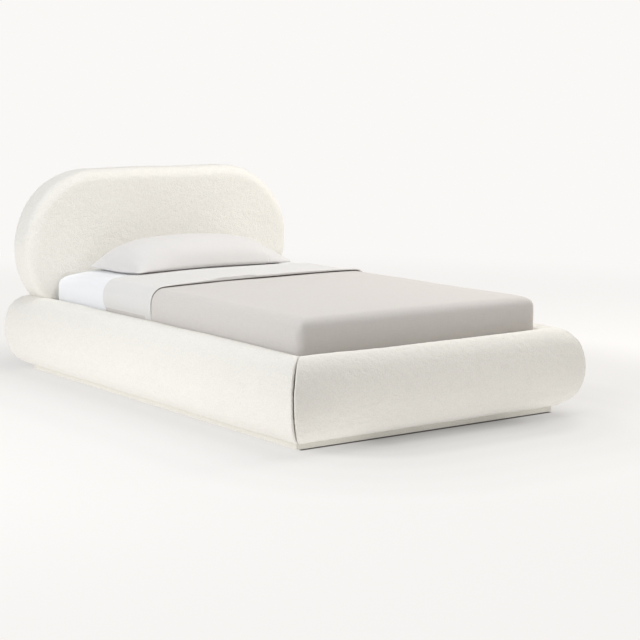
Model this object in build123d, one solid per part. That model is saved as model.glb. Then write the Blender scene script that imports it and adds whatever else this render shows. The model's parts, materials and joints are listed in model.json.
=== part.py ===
from build123d import *
from math import atan2, degrees, sqrt
import os

# Upholstered single bed with a pill shaped headboard, dressed with sheets, a coverlet and a pillow.
# Millimetres. X is the width, the foot is at -Y, the headboard at +Y, and the floor is at z = 0.
# The origin is on the floor, below the middle of the whole bed.

# Clearances
soft_clearance = 0.3
hole_clearance = 0.25
overrun = 20.0

# Mattress and the well that holds it
mattress_width = 1190.0
mattress_length = 2000.0
mattress_edge_height = 214.0
mattress_crown = 8.0
mattress_shoulder_round = 60.0
mattress_end_round = 40.0
mattress_base_round = 12.0
ticking_thickness = 2.0
side_gap = 10.0
foot_gap = 12.0
head_gap = 18.0

# Padded rails, with one rounded section on all four sides
rail_height = 338.0
rail_bulge = 147.0
rail_shoulder_round = 100.0
rail_belly_round = 300.0
rail_inner_round = 14.0
rail_mitre_round = 16.0
mitre_gap = 0.6
cover_thickness = 3.0
rail_board_thickness = 25.0
rail_top_foam = 22.0

# Plinth and floor glides
glide_height = 4.0
glide_radius = 16.0
glide_bevel = 1.0
glide_end_distance = 130.0
side_glides = 4
end_glides = 2
plinth_height = 24.0
plinth_depth = 70.0
plinth_outset = 41.0
plinth_cover_thickness = 2.0

# Headboard, and the bay between the mattress and the head rail that holds its tongue
headboard_bay = 112.0
headboard_thickness = 190.0
headboard_half_width = 731.0
headboard_half_height = 372.0
headboard_top = 955.0
headboard_front_round = 55.0
headboard_rear_round = 45.0
headboard_seat_dip = 14.0
headboard_core_thickness = 22.0
headboard_core_margin = 60.0
tongue_side_gap = 6.0
tongue_cover_drop = 6.0
tongue_core_margin = 50.0
core_base_height = 48.0
spacer_width = 90.0
spacer_height = 150.0
spacer_end_distance = 190.0

# Slats and the webbing that joins them
slat_top = 268.0
slat_count = 14
slat_width = 70.0
slat_thickness = 16.0
slat_edge_round = 4.0
slat_end_gap = 3.0
slat_first_gap = 30.0
strap_width = 25.0
strap_thickness = 1.5
strap_distance = 150.0

# Ledgers, centre beam, hangers and posts
ledger_width = 25.0
ledger_height = 45.0
ledger_end_gap = 8.0
beam_width = 60.0
beam_height = 55.0
beam_play = 0.5
hanger_plate = 3.0
hanger_reach = 45.0
hanger_wing = 28.0
post_width = 45.0
post_count = 2
leveller_radius = 20.0
leveller_height = 8.0
leveller_gap = 12.0
leveller_stem_radius = 5.0
leveller_stem_grip = 30.0

# Corner brackets and fasteners
bracket_leg = 50.0
bracket_plate = 3.0
bracket_height = 120.0
bracket_base_height = 60.0
bolt_radius = 3.0
bolt_head_radius = 6.5
bolt_head_height = 4.0
bolt_tip_margin = 4.0
screw_radius = 2.5
screw_head_radius = 4.5
screw_head_height = 2.5
screw_grip = 18.0
ledger_screws = 6
side_plinth_screws = 6
end_plinth_screws = 4
plinth_screw_end_distance = 70.0
board_bolt_radius = 4.0
board_bolt_head_radius = 8.0
board_bolt_head_height = 5.0

# Bedding, in layers from the mattress outwards
sheet_thickness = 1.0
coverlet_thickness = 3.0
fitted_hem_rise = 6.0
tucked_hem_rise = 16.0
fold_distance = 440.0
turned_length = 413.0
hem_width = 15.0
hem_thickness = 3.4

# Pillow: its length runs along X, turned a little, and its open cuff is at +X
pillow_half_length = 415.0
pillow_depth = 410.0
pillow_rise = 138.0
pillow_belly = 58.0
pillow_sink = 12.0
pillow_seam = 9.0
pillow_turn = 2.0
pillow_centre_x = -30.0
pillow_rear_gap = 40.0
pillowcase_thickness = 1.5
pillowcase_slack = 2.6
cuff_length = 65.0

# Sections along the pillow: share of the half length, of the depth and of the rise
pillow_station_shares = [
    (-1.0, 0.94, 0.06),
    (-0.94, 0.99, 0.46),
    (-0.80, 0.98, 0.76),
    (-0.42, 0.965, 0.96),
    (0.0, 0.96, 1.0),
    (0.42, 0.965, 0.95),
    (0.78, 0.98, 0.76),
]
insert_end_shares = [(0.94, 0.98, 0.44), (1.0, 0.93, 0.06)]
case_end_shares = [(1.0, 0.98, 0.44)]
cuff_depth_share = 0.96
cuff_rise_share = 0.13

# Where rows of fasteners and posts lie, as shares of the piece that they hold
row_pair_shares = [0.25, 0.75]
post_end_share = 1 / 3

# Sizes worked out from the ones above
well_width = mattress_width + 2 * side_gap
well_length = mattress_length + foot_gap + head_gap
ring_length = well_length + headboard_bay
half_well = well_width / 2
half_ring = ring_length / 2
well_front = -half_ring
well_rear = well_front + well_length
mattress_front = well_front + foot_gap
mattress_rear = mattress_front + mattress_length

rail_base = glide_height + plinth_height
rail_top = rail_base + rail_height
rail_middle = (rail_base + rail_top) / 2
padding_inset = cover_thickness + soft_clearance
board_start = padding_inset
board_end = board_start + rail_board_thickness
board_base = rail_base + padding_inset
board_top = rail_top - cover_thickness - rail_top_foam

slat_base = slat_top - slat_thickness
mattress_base = slat_top + soft_clearance
tongue_base = mattress_base - tongue_cover_drop

core_front = well_rear + (headboard_bay - headboard_core_thickness) / 2
core_rear = core_front + headboard_core_thickness
pill_middle = headboard_top - headboard_half_height

fitted_inner = soft_clearance
fitted_outer = fitted_inner + sheet_thickness
sheet_inner = fitted_outer + soft_clearance
sheet_outer = sheet_inner + sheet_thickness
coverlet_inner = sheet_outer + soft_clearance
coverlet_outer = coverlet_inner + coverlet_thickness
turned_inner = coverlet_outer + soft_clearance
turned_outer = turned_inner + sheet_thickness
fold_line = mattress_rear - fold_distance
hem_line = fold_line - turned_length

up = Vector(0, 0, 1)
outward = {
    "foot": Vector(0, -1, 0),
    "head": Vector(0, 1, 0),
    "left": Vector(-1, 0, 0),
    "right": Vector(1, 0, 0),
}
along = {
    "foot": Vector(1, 0, 0),
    "head": Vector(1, 0, 0),
    "left": Vector(0, 1, 0),
    "right": Vector(0, 1, 0),
}
face_distance = {"foot": half_ring, "head": half_ring, "left": half_well, "right": half_well}
inner_length = {"foot": well_width, "head": well_width, "left": ring_length, "right": ring_length}
rail_place = {
    "foot": Pos(0, -half_ring, 0),
    "head": Pos(0, half_ring, 0) * Rot(0, 0, 180),
    "left": Pos(-half_well, 0, 0) * Rot(0, 0, -90),
    "right": Pos(half_well, 0, 0) * Rot(0, 0, 90),
}
sides = list(rail_place)


# A block between two opposite corners
def block(first, second):
    low = [min(a, b) for a, b in zip(first, second)]
    high = [max(a, b) for a, b in zip(first, second)]
    sizes = [b - a for a, b in zip(low, high)]
    middle = [(a + b) / 2 for a, b in zip(low, high)]
    return Pos(*middle) * Box(*sizes)


# A round bar that runs from a point along a direction
def rod(start, direction, length, radius):
    bar = Cylinder(radius, length, align=(Align.CENTER, Align.CENTER, Align.MIN))
    return Plane(origin=start, z_dir=direction).location * bar


# A screw or bolt, whose head sits on its start point
def fastener(start, direction, length, radius, head_radius, head_height):
    shank = rod(start, direction, length, radius)
    return shank + rod(start, direction * -1, head_height, head_radius)


# The hole that a fastener passes through
def shank_hole(start, direction, length, radius):
    return rod(start, direction, length + hole_clearance, radius + hole_clearance)


# Evenly spaced places on each side of the middle
def spread(half_span, count):
    return [half_span * (2 * i / (count - 1) - 1) for i in range(count)]


# A point on a rail: how far along it, how far into the well from its inner face, and how high
def rail_point(side, run, inward, height):
    return outward[side] * (face_distance[side] - inward) + along[side] * run + up * height


# Padded rails. A rail is made along X with its inner face at y = 0 and its bulge towards -Y,
# and is then turned to its place.
section_plane = Plane(origin=(0, 0, 0), x_dir=(0, -1, 0), z_dir=(-1, 0, 0))


# The rail's section: flat inside, crowned on top, with a round belly
def rail_profile(inset):
    shoulder_rise = rail_height / 2 - rail_shoulder_round
    belly_centre = rail_bulge - rail_belly_round
    centre_reach = rail_belly_round - rail_shoulder_round
    centre_step = sqrt(centre_reach**2 - shoulder_rise**2)
    shoulder_centre = belly_centre + centre_step
    turn = degrees(atan2(shoulder_rise, centre_step))
    shoulder = rail_shoulder_round - inset
    inner_centre = rail_top - rail_inner_round
    top = rail_top - inset
    base = rail_base + inset
    edges = [
        Line((inset, base), (inset, inner_centre)),
        CenterArc((rail_inner_round, inner_centre), rail_inner_round - inset, 90, 90),
        Line((rail_inner_round, top), (shoulder_centre, top)),
        CenterArc((shoulder_centre, rail_middle + shoulder_rise), shoulder, turn, 90 - turn),
        CenterArc((belly_centre, rail_middle), rail_belly_round - inset, -turn, 2 * turn),
        CenterArc((shoulder_centre, rail_middle - shoulder_rise), shoulder, -90, 90 - turn),
        Line((shoulder_centre, base), (inset, base)),
    ]
    return make_face(edges)


# A long bar of the rail's section
def rail_bar(length, inset):
    return extrude(section_plane * rail_profile(inset), amount=length / 2 + rail_bulge, both=True)


# A flat outline with mitred ends, between two distances outwards from the inner face
def mitred_outline(length, start, end, pull):
    shift = pull * sqrt(2)
    near = length / 2 + start - shift
    far = length / 2 + end - shift
    return Polyline((near, -start), (-near, -start), (-far, -end), (far, -end), close=True)


# A straight piece with mitred ends
def mitred_block(length, start, end, base, top, pull):
    face = make_face(mitred_outline(length, start, end, pull))
    return Pos(0, 0, base) * extrude(face, amount=top - base)


# The rail seen as a whole: its section, mitred, with the padding rounded off round both mitres
def rail_form(length, inset):
    pull = inset + mitre_gap / 2
    plan = make_face(mitred_outline(length, inset, rail_bulge + overrun, pull))
    form = rail_bar(length, inset) & extrude(plan, amount=rail_top + overrun)
    ends = form.faces().sort_by(Axis.X)
    rims = ends[0].edges() + ends[-1].edges()
    return fillet(rims.filter_by(GeomType.ELLIPSE), radius=rail_mitre_round - inset)


# Bolts of the corner brackets, two on each leg
bolt_length = bracket_plate + board_end - bolt_tip_margin
bolt_places = {side: [] for side in sides}
for side in sides:
    bolt_run = inner_length[side] / 2 - bracket_leg / 2
    for end in (-1, 1):
        for share in row_pair_shares:
            height = bracket_base_height + bracket_height * share
            bolt_places[side].append(rail_point(side, end * bolt_run, bracket_plate, height))

# Screws of the plinth, driven up from below into the rail boards
plinth_screw_start = glide_height + plinth_cover_thickness + screw_head_height
plinth_screw_length = board_base + screw_grip - plinth_screw_start
plinth_screw_count = {
    "foot": end_plinth_screws,
    "head": end_plinth_screws,
    "left": side_plinth_screws,
    "right": side_plinth_screws,
}
plinth_screw_places = {}
for side in sides:
    half_span = inner_length[side] / 2 - plinth_screw_end_distance
    plinth_screw_places[side] = [
        rail_point(side, run, -(board_start + rail_board_thickness / 2), plinth_screw_start)
        for run in spread(half_span, plinth_screw_count[side])
    ]

# Screws of the ledgers, driven outwards into the side boards
ledger_middle_height = slat_base - ledger_height / 2
ledger_front = well_front + ledger_end_gap
ledger_rear = well_rear - ledger_end_gap
ledger_screw_length = ledger_width + board_end - bolt_tip_margin
ledger_screw_places = {}
for side in ("left", "right"):
    half_span = (ledger_rear - ledger_front) / 2 - plinth_screw_end_distance
    ledger_middle = (ledger_front + ledger_rear) / 2
    ledger_screw_places[side] = [
        rail_point(side, ledger_middle + run, ledger_width, ledger_middle_height)
        for run in spread(half_span, ledger_screws)
    ]

# Screws of the two hangers, in the wings beside the beam
beam_base = slat_base - beam_height
hanger_half_width = beam_width / 2 + beam_play + hanger_plate
wing_middle = hanger_half_width + hanger_wing / 2
hanger_heights = [beam_base + beam_height * share for share in row_pair_shares]
foot_hanger_places = [
    rail_point("foot", end * wing_middle, hanger_plate, height)
    for end in (-1, 1)
    for height in hanger_heights
]
head_hanger_places = [
    Vector(end * wing_middle, core_front - hanger_plate, height)
    for end in (-1, 1)
    for height in hanger_heights
]
foot_hanger_screw_length = hanger_plate + board_start + screw_grip
head_hanger_screw_length = hanger_plate + screw_grip

# Bolts of the headboard, through its board and the spacers into the head rail
board_bolt_length = half_ring - core_front + board_end - bolt_tip_margin
spacer_middle = half_well - spacer_end_distance
board_bolt_places = [
    Vector(end * spacer_middle, core_front, core_base_height + spacer_height * share)
    for end in (-1, 1)
    for share in row_pair_shares
]


# All the holes through one rail's cover and board
def rail_holes(side):
    holes = [shank_hole(p, outward[side], bolt_length, bolt_radius) for p in bolt_places[side]]
    holes += [shank_hole(p, up, plinth_screw_length, screw_radius) for p in plinth_screw_places[side]]
    for place in ledger_screw_places.get(side, []):
        holes.append(shank_hole(place, outward[side], ledger_screw_length, screw_radius))
    if side == "foot":
        for place in foot_hanger_places:
            holes.append(shank_hole(place, outward[side], foot_hanger_screw_length, screw_radius))
    if side == "head":
        for place in board_bolt_places:
            holes.append(shank_hole(place, outward[side], board_bolt_length, board_bolt_radius))
    return holes


# One rail: the timber board, the shaped foam on it, and the fabric cover
def make_rail(side):
    length = inner_length[side]
    slab = block(
        (-length, -board_start, board_base),
        (length, -board_end, board_top),
    )
    padded = rail_form(length, padding_inset)
    board = rail_place[side] * (padded & slab)
    foam = rail_place[side] * (padded - slab)
    cover = rail_place[side] * (rail_form(length, 0) - rail_form(length, cover_thickness))
    holes = rail_holes(side)
    return board - holes, foam, cover - holes


# One side of the plinth: a flat batten wrapped in fabric, open towards the inside
def make_plinth(side):
    length = inner_length[side]
    inner = plinth_outset - plinth_depth
    outer = plinth_outset - plinth_cover_thickness
    base = glide_height + plinth_cover_thickness
    top = rail_base - plinth_cover_thickness
    pull = mitre_gap / 2
    batten = mitred_block(length, inner, outer, base, top, pull)
    wrap = mitred_block(length, inner, plinth_outset, glide_height, rail_base, pull)
    hollow = mitred_block(length, inner - overrun, outer, base, top, pull - overrun)
    holes = []
    for place in plinth_screw_places[side]:
        holes.append(shank_hole(place, up, plinth_screw_length, screw_radius))
        holes.append(rod(place, up * -1, plinth_screw_start, screw_head_radius + hole_clearance))
    cover = wrap - hollow
    return rail_place[side] * batten - holes, rail_place[side] * cover - holes


# One floor glide, a disc with a bevelled rim
def make_glide(place):
    disc = rod(place, up, glide_height, glide_radius)
    rim = disc.faces().sort_by(Axis.Z)[0].edges()
    return chamfer(rim, length=glide_bevel)


# The steel angle that joins two rails inside one corner of the ring
def make_bracket(end_x, end_y):
    corner_x = end_x * half_well
    corner_y = end_y * half_ring
    base = bracket_base_height
    top = base + bracket_height
    leg_x = block(
        (corner_x, corner_y, base),
        (corner_x - end_x * bracket_leg, corner_y - end_y * bracket_plate, top),
    )
    leg_y = block(
        (corner_x, corner_y, base),
        (corner_x - end_x * bracket_plate, corner_y - end_y * bracket_leg, top),
    )
    return leg_x + leg_y


# The headboard's padded pill, a stadium seen from the front
def pill_form(inset):
    plane = Plane(origin=(0, well_rear + inset, pill_middle), x_dir=(1, 0, 0), z_dir=(0, 1, 0))
    outline = SlotOverall(2 * (headboard_half_width - inset), 2 * (headboard_half_height - inset))
    pill = extrude(plane * outline, amount=headboard_thickness - 2 * inset)
    front = pill.faces().sort_by(Axis.Y)[0].edges()
    pill = fillet(front, radius=headboard_front_round - inset)
    rear = pill.faces().sort_by(Axis.Y)[-1].edges()
    return fillet(rear, radius=headboard_rear_round - inset)


# The pill with the tongue that goes down behind the mattress, cut off level at a height
def headboard_form(inset, seat):
    pill = pill_form(inset)
    reach = headboard_half_width + overrun
    pill -= block((-reach, well_rear - overrun, 0), (reach, half_ring + reach, seat))
    half_tongue = half_well - tongue_side_gap - inset
    tongue = block(
        (-half_tongue, well_rear + inset, tongue_base + inset),
        (half_tongue, half_ring - soft_clearance - inset, pill_middle),
    )
    return pill + tongue


# The same form nestled onto the round shoulders of the rails
def seated_headboard_form(inset):
    form = headboard_form(inset, rail_top - headboard_seat_dip + inset)
    for side in ("head", "left", "right"):
        bar = rail_bar(inner_length[side], -(soft_clearance + inset))
        form -= rail_place[side] * bar
    return form


# The headboard's plywood board: a smaller pill whose tongue reaches down to its bolts
def make_headboard_core():
    half_width = headboard_half_width - headboard_core_margin
    half_height = headboard_half_height - headboard_core_margin
    plane = Plane(origin=(0, core_front, pill_middle), x_dir=(1, 0, 0), z_dir=(0, 1, 0))
    outline = SlotOverall(2 * half_width, 2 * half_height)
    pill = extrude(plane * outline, amount=headboard_core_thickness)
    seat = rail_top + cover_thickness + rail_top_foam
    pill &= block((-half_width, core_front, seat), (half_width, core_rear, headboard_top))
    half_tongue = half_well - tongue_core_margin
    tongue = block((-half_tongue, core_front, core_base_height), (half_tongue, core_rear, pill_middle))
    return pill + tongue


# The hollow that lets the board out through the bottom of the headboard's cover
def core_slot():
    half_slot = half_well - tongue_core_margin + soft_clearance
    return block(
        (-half_slot, core_front - soft_clearance, tongue_base - overrun),
        (half_slot, core_rear + soft_clearance, tongue_base + overrun),
    )


# A steel cradle that holds one end of the beam. It stands on a face at y = 0 and reaches to +Y.
def make_hanger():
    outer = block(
        (-hanger_half_width, 0, beam_base - hanger_plate),
        (hanger_half_width, hanger_reach, slat_base),
    )
    channel = block(
        (-(beam_width / 2 + beam_play), hanger_plate, beam_base),
        (beam_width / 2 + beam_play, hanger_reach + overrun, slat_base + overrun),
    )
    half_back = hanger_half_width + hanger_wing
    back = block((-half_back, 0, beam_base - hanger_plate), (half_back, hanger_plate, slat_base))
    return outer - channel + back


# One slat across the bed, with softly rounded long edges
def make_slat(centre_y):
    plane = Plane(origin=(0, centre_y, slat_base + slat_thickness / 2), z_dir=(1, 0, 0), x_dir=(0, 1, 0))
    section = RectangleRounded(slat_width, slat_thickness, slat_edge_round)
    return extrude(plane * section, amount=half_well - slat_end_gap, both=True)


# The mattress outline, grown by a distance: a crowned top, round shoulders and round corners
def soft_block(grow):
    half_width = mattress_width / 2 + grow
    reach = mattress_width / 2 - mattress_shoulder_round
    centre_gap = (reach**2 + mattress_crown**2) / (2 * mattress_crown)
    turn = degrees(atan2(centre_gap - mattress_crown, reach))
    shoulder_centre = mattress_base + mattress_edge_height - mattress_shoulder_round
    crown_centre = shoulder_centre + mattress_crown - centre_gap
    shoulder = mattress_shoulder_round + grow
    base = mattress_base - grow
    edges = [
        Line((-half_width, base), (half_width, base)),
        Line((half_width, base), (half_width, shoulder_centre)),
        CenterArc((reach, shoulder_centre), shoulder, 0, turn),
        CenterArc((0, crown_centre), centre_gap + shoulder, turn, 180 - 2 * turn),
        CenterArc((-reach, shoulder_centre), shoulder, 180 - turn, turn),
        Line((-half_width, shoulder_centre), (-half_width, base)),
    ]
    start = mattress_rear + grow
    plane = Plane(origin=(0, start, 0), x_dir=(1, 0, 0), z_dir=(0, -1, 0))
    body = extrude(plane * make_face(edges), amount=mattress_length + 2 * grow)
    ends = body.faces().sort_by(Axis.Y)
    rims = ends[0].edges() + ends[-1].edges()
    upper = [edge for edge in rims if edge.center().Z > base + mattress_base_round]
    return fillet(upper, radius=mattress_end_round + grow)


# Rounds off the lower edge of a mattress outline
def round_base(body, radius):
    rim = body.faces().sort_by(Axis.Z)[0].edges()
    return fillet(rim, radius=radius)


# A block that reaches past the whole bedding, between two places along Y and from a height up
def bedding_zone(rear, front, base):
    reach = mattress_width
    top = mattress_base + mattress_edge_height + mattress_width
    return block((-reach, rear, base), (reach, front, top))


# A layer of cloth over the mattress between two distances from it, cut to a zone
def cloth_layer(inner, outer, zone):
    return (soft_block(outer) - soft_block(inner)) & zone


# One cross section of the pillow: a crown and a belly that meet at the seams
def pillow_section(station, depth_share, rise_share, inset):
    half_depth = pillow_depth * depth_share / 2 - inset
    half_seam = pillow_seam / 2 - inset
    crown = half_seam + pillow_rise * rise_share
    belly = half_seam + pillow_belly * rise_share
    edges = [
        Line((-half_depth, -half_seam), (-half_depth, half_seam)),
        ThreePointArc((-half_depth, half_seam), (0, crown), (half_depth, half_seam)),
        Line((half_depth, half_seam), (half_depth, -half_seam)),
        ThreePointArc((half_depth, -half_seam), (0, -belly), (-half_depth, -half_seam)),
    ]
    plane = Plane(origin=(station, 0, 0), x_dir=(0, 1, 0), z_dir=(1, 0, 0))
    return plane * make_face(edges)


# Where the pillow lies: on the fitted sheet, close to the headboard
def pillow_place():
    centre_y = well_rear - pillow_rear_gap - pillow_depth / 2
    middle = soft_block_top() + fitted_outer + soft_clearance + pillow_sink
    return Pos(pillow_centre_x, centre_y, middle) * Rot(0, 0, pillow_turn)


# Sections of the pillow up to its last full one
def pillow_sections(inset, end_shares):
    return [
        pillow_section(length_share * (pillow_half_length - inset), depth_share, rise_share, inset)
        for length_share, depth_share, rise_share in pillow_station_shares + end_shares
    ]


# The filled insert, closed at both ends
def insert_form(inset):
    return pillow_place() * loft(pillow_sections(inset, insert_end_shares))


# The pillowcase with its cuff, whose hollow runs on through the mouth
def case_form(inset, mouth_overrun):
    mouth = pillow_section(pillow_half_length + cuff_length, cuff_depth_share, cuff_rise_share, inset)
    form = loft(pillow_sections(inset, case_end_shares) + [mouth])
    if mouth_overrun:
        form += extrude(mouth, amount=mouth_overrun)
    return pillow_place() * form


# The height of the mattress at the top of its crown
def soft_block_top():
    return mattress_base + mattress_edge_height + mattress_crown


# What the pillow presses on: the turned sheet at its front and the fitted sheet behind
def pillow_bed(grow):
    whole = bedding_zone(mattress_rear + overrun, mattress_front - overrun, 0)
    front = bedding_zone(fold_line + soft_clearance + grow, mattress_front - overrun, 0)
    sheet = soft_block(fitted_outer + soft_clearance + grow) & whole
    turned = soft_block(turned_outer + soft_clearance + grow) & front
    return sheet + turned


parts = {}

# The four rails and the plinth below them
for side in sides:
    board, foam, cover = make_rail(side)
    parts[side + "_rail_board"] = board
    parts[side + "_rail_foam"] = foam
    parts[side + "_rail_cover"] = cover
    batten, wrap = make_plinth(side)
    parts[side + "_plinth_batten"] = batten
    parts[side + "_plinth_cover"] = wrap

# Floor glides, spread along each side of the plinth
glides = []
for side in sides:
    count = side_glides if side in ("left", "right") else end_glides
    half_span = inner_length[side] / 2 - glide_end_distance
    for run in spread(half_span, count):
        glides.append(make_glide(rail_point(side, run, plinth_depth / 2 - plinth_outset, 0)))
parts["floor_glides"] = Compound(children=glides)

# Plinth screws
parts["plinth_screws"] = Compound(children=[
    fastener(place, up, plinth_screw_length, screw_radius, screw_head_radius, screw_head_height)
    for side in sides
    for place in plinth_screw_places[side]
])

# Corner brackets and their bolts
bracket_holes = [
    shank_hole(place, outward[side], bolt_length, bolt_radius)
    for side in sides
    for place in bolt_places[side]
]
parts["corner_brackets"] = Compound(children=[
    make_bracket(end_x, end_y) - bracket_holes for end_x in (-1, 1) for end_y in (-1, 1)
])
parts["corner_bolts"] = Compound(children=[
    fastener(place, outward[side], bolt_length, bolt_radius, bolt_head_radius, bolt_head_height)
    for side in sides
    for place in bolt_places[side]
])

# Ledgers along both sides, and their screws
for side, sign in (("left", -1), ("right", 1)):
    strip = block(
        (sign * half_well, ledger_front, slat_base - ledger_height),
        (sign * (half_well - ledger_width), ledger_rear, slat_base),
    )
    parts[side + "_ledger"] = strip - [
        shank_hole(place, outward[side], ledger_screw_length, screw_radius)
        for place in ledger_screw_places[side]
    ]
parts["ledger_screws"] = Compound(children=[
    fastener(
        place, outward[side], ledger_screw_length, screw_radius, screw_head_radius, screw_head_height
    )
    for side in ("left", "right")
    for place in ledger_screw_places[side]
])

# Centre beam, its two hangers and their screws
beam_front = well_front + hanger_plate + beam_play
beam_rear = core_front - hanger_plate - beam_play
parts["centre_beam"] = block(
    (-beam_width / 2, beam_front, beam_base),
    (beam_width / 2, beam_rear, slat_base),
)
foot_hanger = Pos(0, well_front, 0) * make_hanger()
head_hanger = Pos(0, core_front, 0) * Rot(0, 0, 180) * make_hanger()
foot_hanger -= [
    shank_hole(place, outward["foot"], foot_hanger_screw_length, screw_radius)
    for place in foot_hanger_places
]
head_hanger -= [
    shank_hole(place, outward["head"], head_hanger_screw_length, screw_radius)
    for place in head_hanger_places
]
parts["beam_hangers"] = Compound(children=[foot_hanger, head_hanger])
foot_hanger_screws = [
    fastener(
        place, outward["foot"], foot_hanger_screw_length, screw_radius, screw_head_radius, screw_head_height
    )
    for place in foot_hanger_places
]
head_hanger_screws = [
    fastener(
        place, outward["head"], head_hanger_screw_length, screw_radius, screw_head_radius, screw_head_height
    )
    for place in head_hanger_places
]
parts["hanger_screws"] = Compound(children=foot_hanger_screws + head_hanger_screws)

# Posts under the beam, each on a levelling foot
beam_middle = (beam_front + beam_rear) / 2
post_base = leveller_height + leveller_gap
posts = []
levellers = []
for run in spread((beam_rear - beam_front) * post_end_share / 2, post_count):
    foot_point = Vector(0, beam_middle + run, 0)
    post = block(
        (-post_width / 2, beam_middle + run - post_width / 2, post_base),
        (post_width / 2, beam_middle + run + post_width / 2, beam_base),
    )
    stem_length = leveller_gap + leveller_stem_grip
    stem_point = foot_point + up * leveller_height
    posts.append(post - shank_hole(stem_point, up, stem_length, leveller_stem_radius))
    stem = rod(stem_point, up, stem_length, leveller_stem_radius)
    levellers.append(stem + rod(foot_point, up, leveller_height, leveller_radius))
parts["support_posts"] = Compound(children=posts)
parts["levelling_feet"] = Compound(children=levellers)

# Headboard: board, foam, cover, spacers and bolts
board_bolt_holes = [
    shank_hole(place, outward["head"], board_bolt_length, board_bolt_radius)
    for place in board_bolt_places
]
head_hanger_holes = [
    shank_hole(place, outward["head"], head_hanger_screw_length, screw_radius)
    for place in head_hanger_places
]
core = make_headboard_core()
parts["headboard_board"] = core - board_bolt_holes - head_hanger_holes
parts["headboard_foam"] = headboard_form(padding_inset, rail_top + padding_inset) - core
parts["headboard_cover"] = seated_headboard_form(0) - seated_headboard_form(cover_thickness) - core_slot()
parts["headboard_spacers"] = Compound(children=[
    block(
        (end * spacer_middle - spacer_width / 2, core_rear, core_base_height),
        (end * spacer_middle + spacer_width / 2, half_ring, core_base_height + spacer_height),
    ) - board_bolt_holes
    for end in (-1, 1)
])
parts["headboard_bolts"] = Compound(children=[
    fastener(
        place,
        outward["head"],
        board_bolt_length,
        board_bolt_radius,
        board_bolt_head_radius,
        board_bolt_head_height,
    )
    for place in board_bolt_places
])

# Slats, laid out evenly over the well, and the two webbing straps that join them
first_slat = well_front + slat_first_gap + slat_width / 2
last_slat = well_rear - slat_first_gap - slat_width / 2
slat_pitch = (last_slat - first_slat) / (slat_count - 1)
for index in range(slat_count):
    parts[f"slat_{index + 1:02d}"] = make_slat(first_slat + index * slat_pitch)
strap_centre = half_well - strap_distance
for side, sign in (("left", -1), ("right", 1)):
    parts[side + "_slat_strap"] = block(
        (sign * strap_centre - strap_width / 2, first_slat - slat_width / 2, slat_base - strap_thickness),
        (sign * strap_centre + strap_width / 2, last_slat + slat_width / 2, slat_base),
    )

# Mattress: foam core in its ticking, under the fitted sheet
core_inset = ticking_thickness + soft_clearance
parts["mattress_core"] = round_base(soft_block(-core_inset), mattress_base_round - core_inset)
parts["mattress_ticking"] = round_base(soft_block(0), mattress_base_round) - round_base(
    soft_block(-ticking_thickness), mattress_base_round - ticking_thickness
)
whole_bed = (mattress_rear + overrun, mattress_front - overrun)
fitted_zone = bedding_zone(*whole_bed, mattress_base + fitted_hem_rise)
parts["fitted_sheet"] = cloth_layer(fitted_inner, fitted_outer, fitted_zone)

# Flat sheet: tucked at the sides and foot, turned down over the coverlet, with a thick hem
tucked_hem = mattress_base + tucked_hem_rise
foot_limit = mattress_front - overrun
under_zone = bedding_zone(fold_line, foot_limit, tucked_hem)
fold_zone = bedding_zone(fold_line, fold_line - sheet_thickness, tucked_hem)
turned_zone = bedding_zone(fold_line, hem_line, tucked_hem)
hem_zone = bedding_zone(hem_line + hem_width, hem_line, tucked_hem)
flat_sheet = cloth_layer(sheet_inner, sheet_outer, under_zone)
flat_sheet += cloth_layer(sheet_inner, turned_outer, fold_zone)
flat_sheet += cloth_layer(turned_inner, turned_outer, turned_zone)
flat_sheet += cloth_layer(turned_inner, turned_inner + hem_thickness, hem_zone)
parts["flat_sheet"] = flat_sheet

# Coverlet, between the two layers of the flat sheet and on down to the foot
coverlet_end = fold_line - sheet_thickness - soft_clearance
coverlet_zone = bedding_zone(coverlet_end, foot_limit, tucked_hem)
parts["coverlet"] = cloth_layer(coverlet_inner, coverlet_outer, coverlet_zone)

# Pillow: the filled insert and the pillowcase, open at its cuff
insert_lift = pillowcase_thickness + soft_clearance
parts["pillow_insert"] = insert_form(pillowcase_thickness + pillowcase_slack) - pillow_bed(insert_lift)
case_hollow = case_form(pillowcase_thickness, overrun) - pillow_bed(pillowcase_thickness)
parts["pillowcase"] = case_form(0, 0) - pillow_bed(0) - case_hollow

os.makedirs("parts", exist_ok=True)
for name, shape in parts.items():
    export_step(shape, f"parts/{name}.step")
    print(f"{name}: {len(shape.solids())} solid, {shape.volume / 1000:.1f} cubic cm")
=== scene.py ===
import bpy
import bmesh
import json
import math
from mathutils import Matrix, Vector, noise
from mathutils.bvhtree import BVHTree


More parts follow.
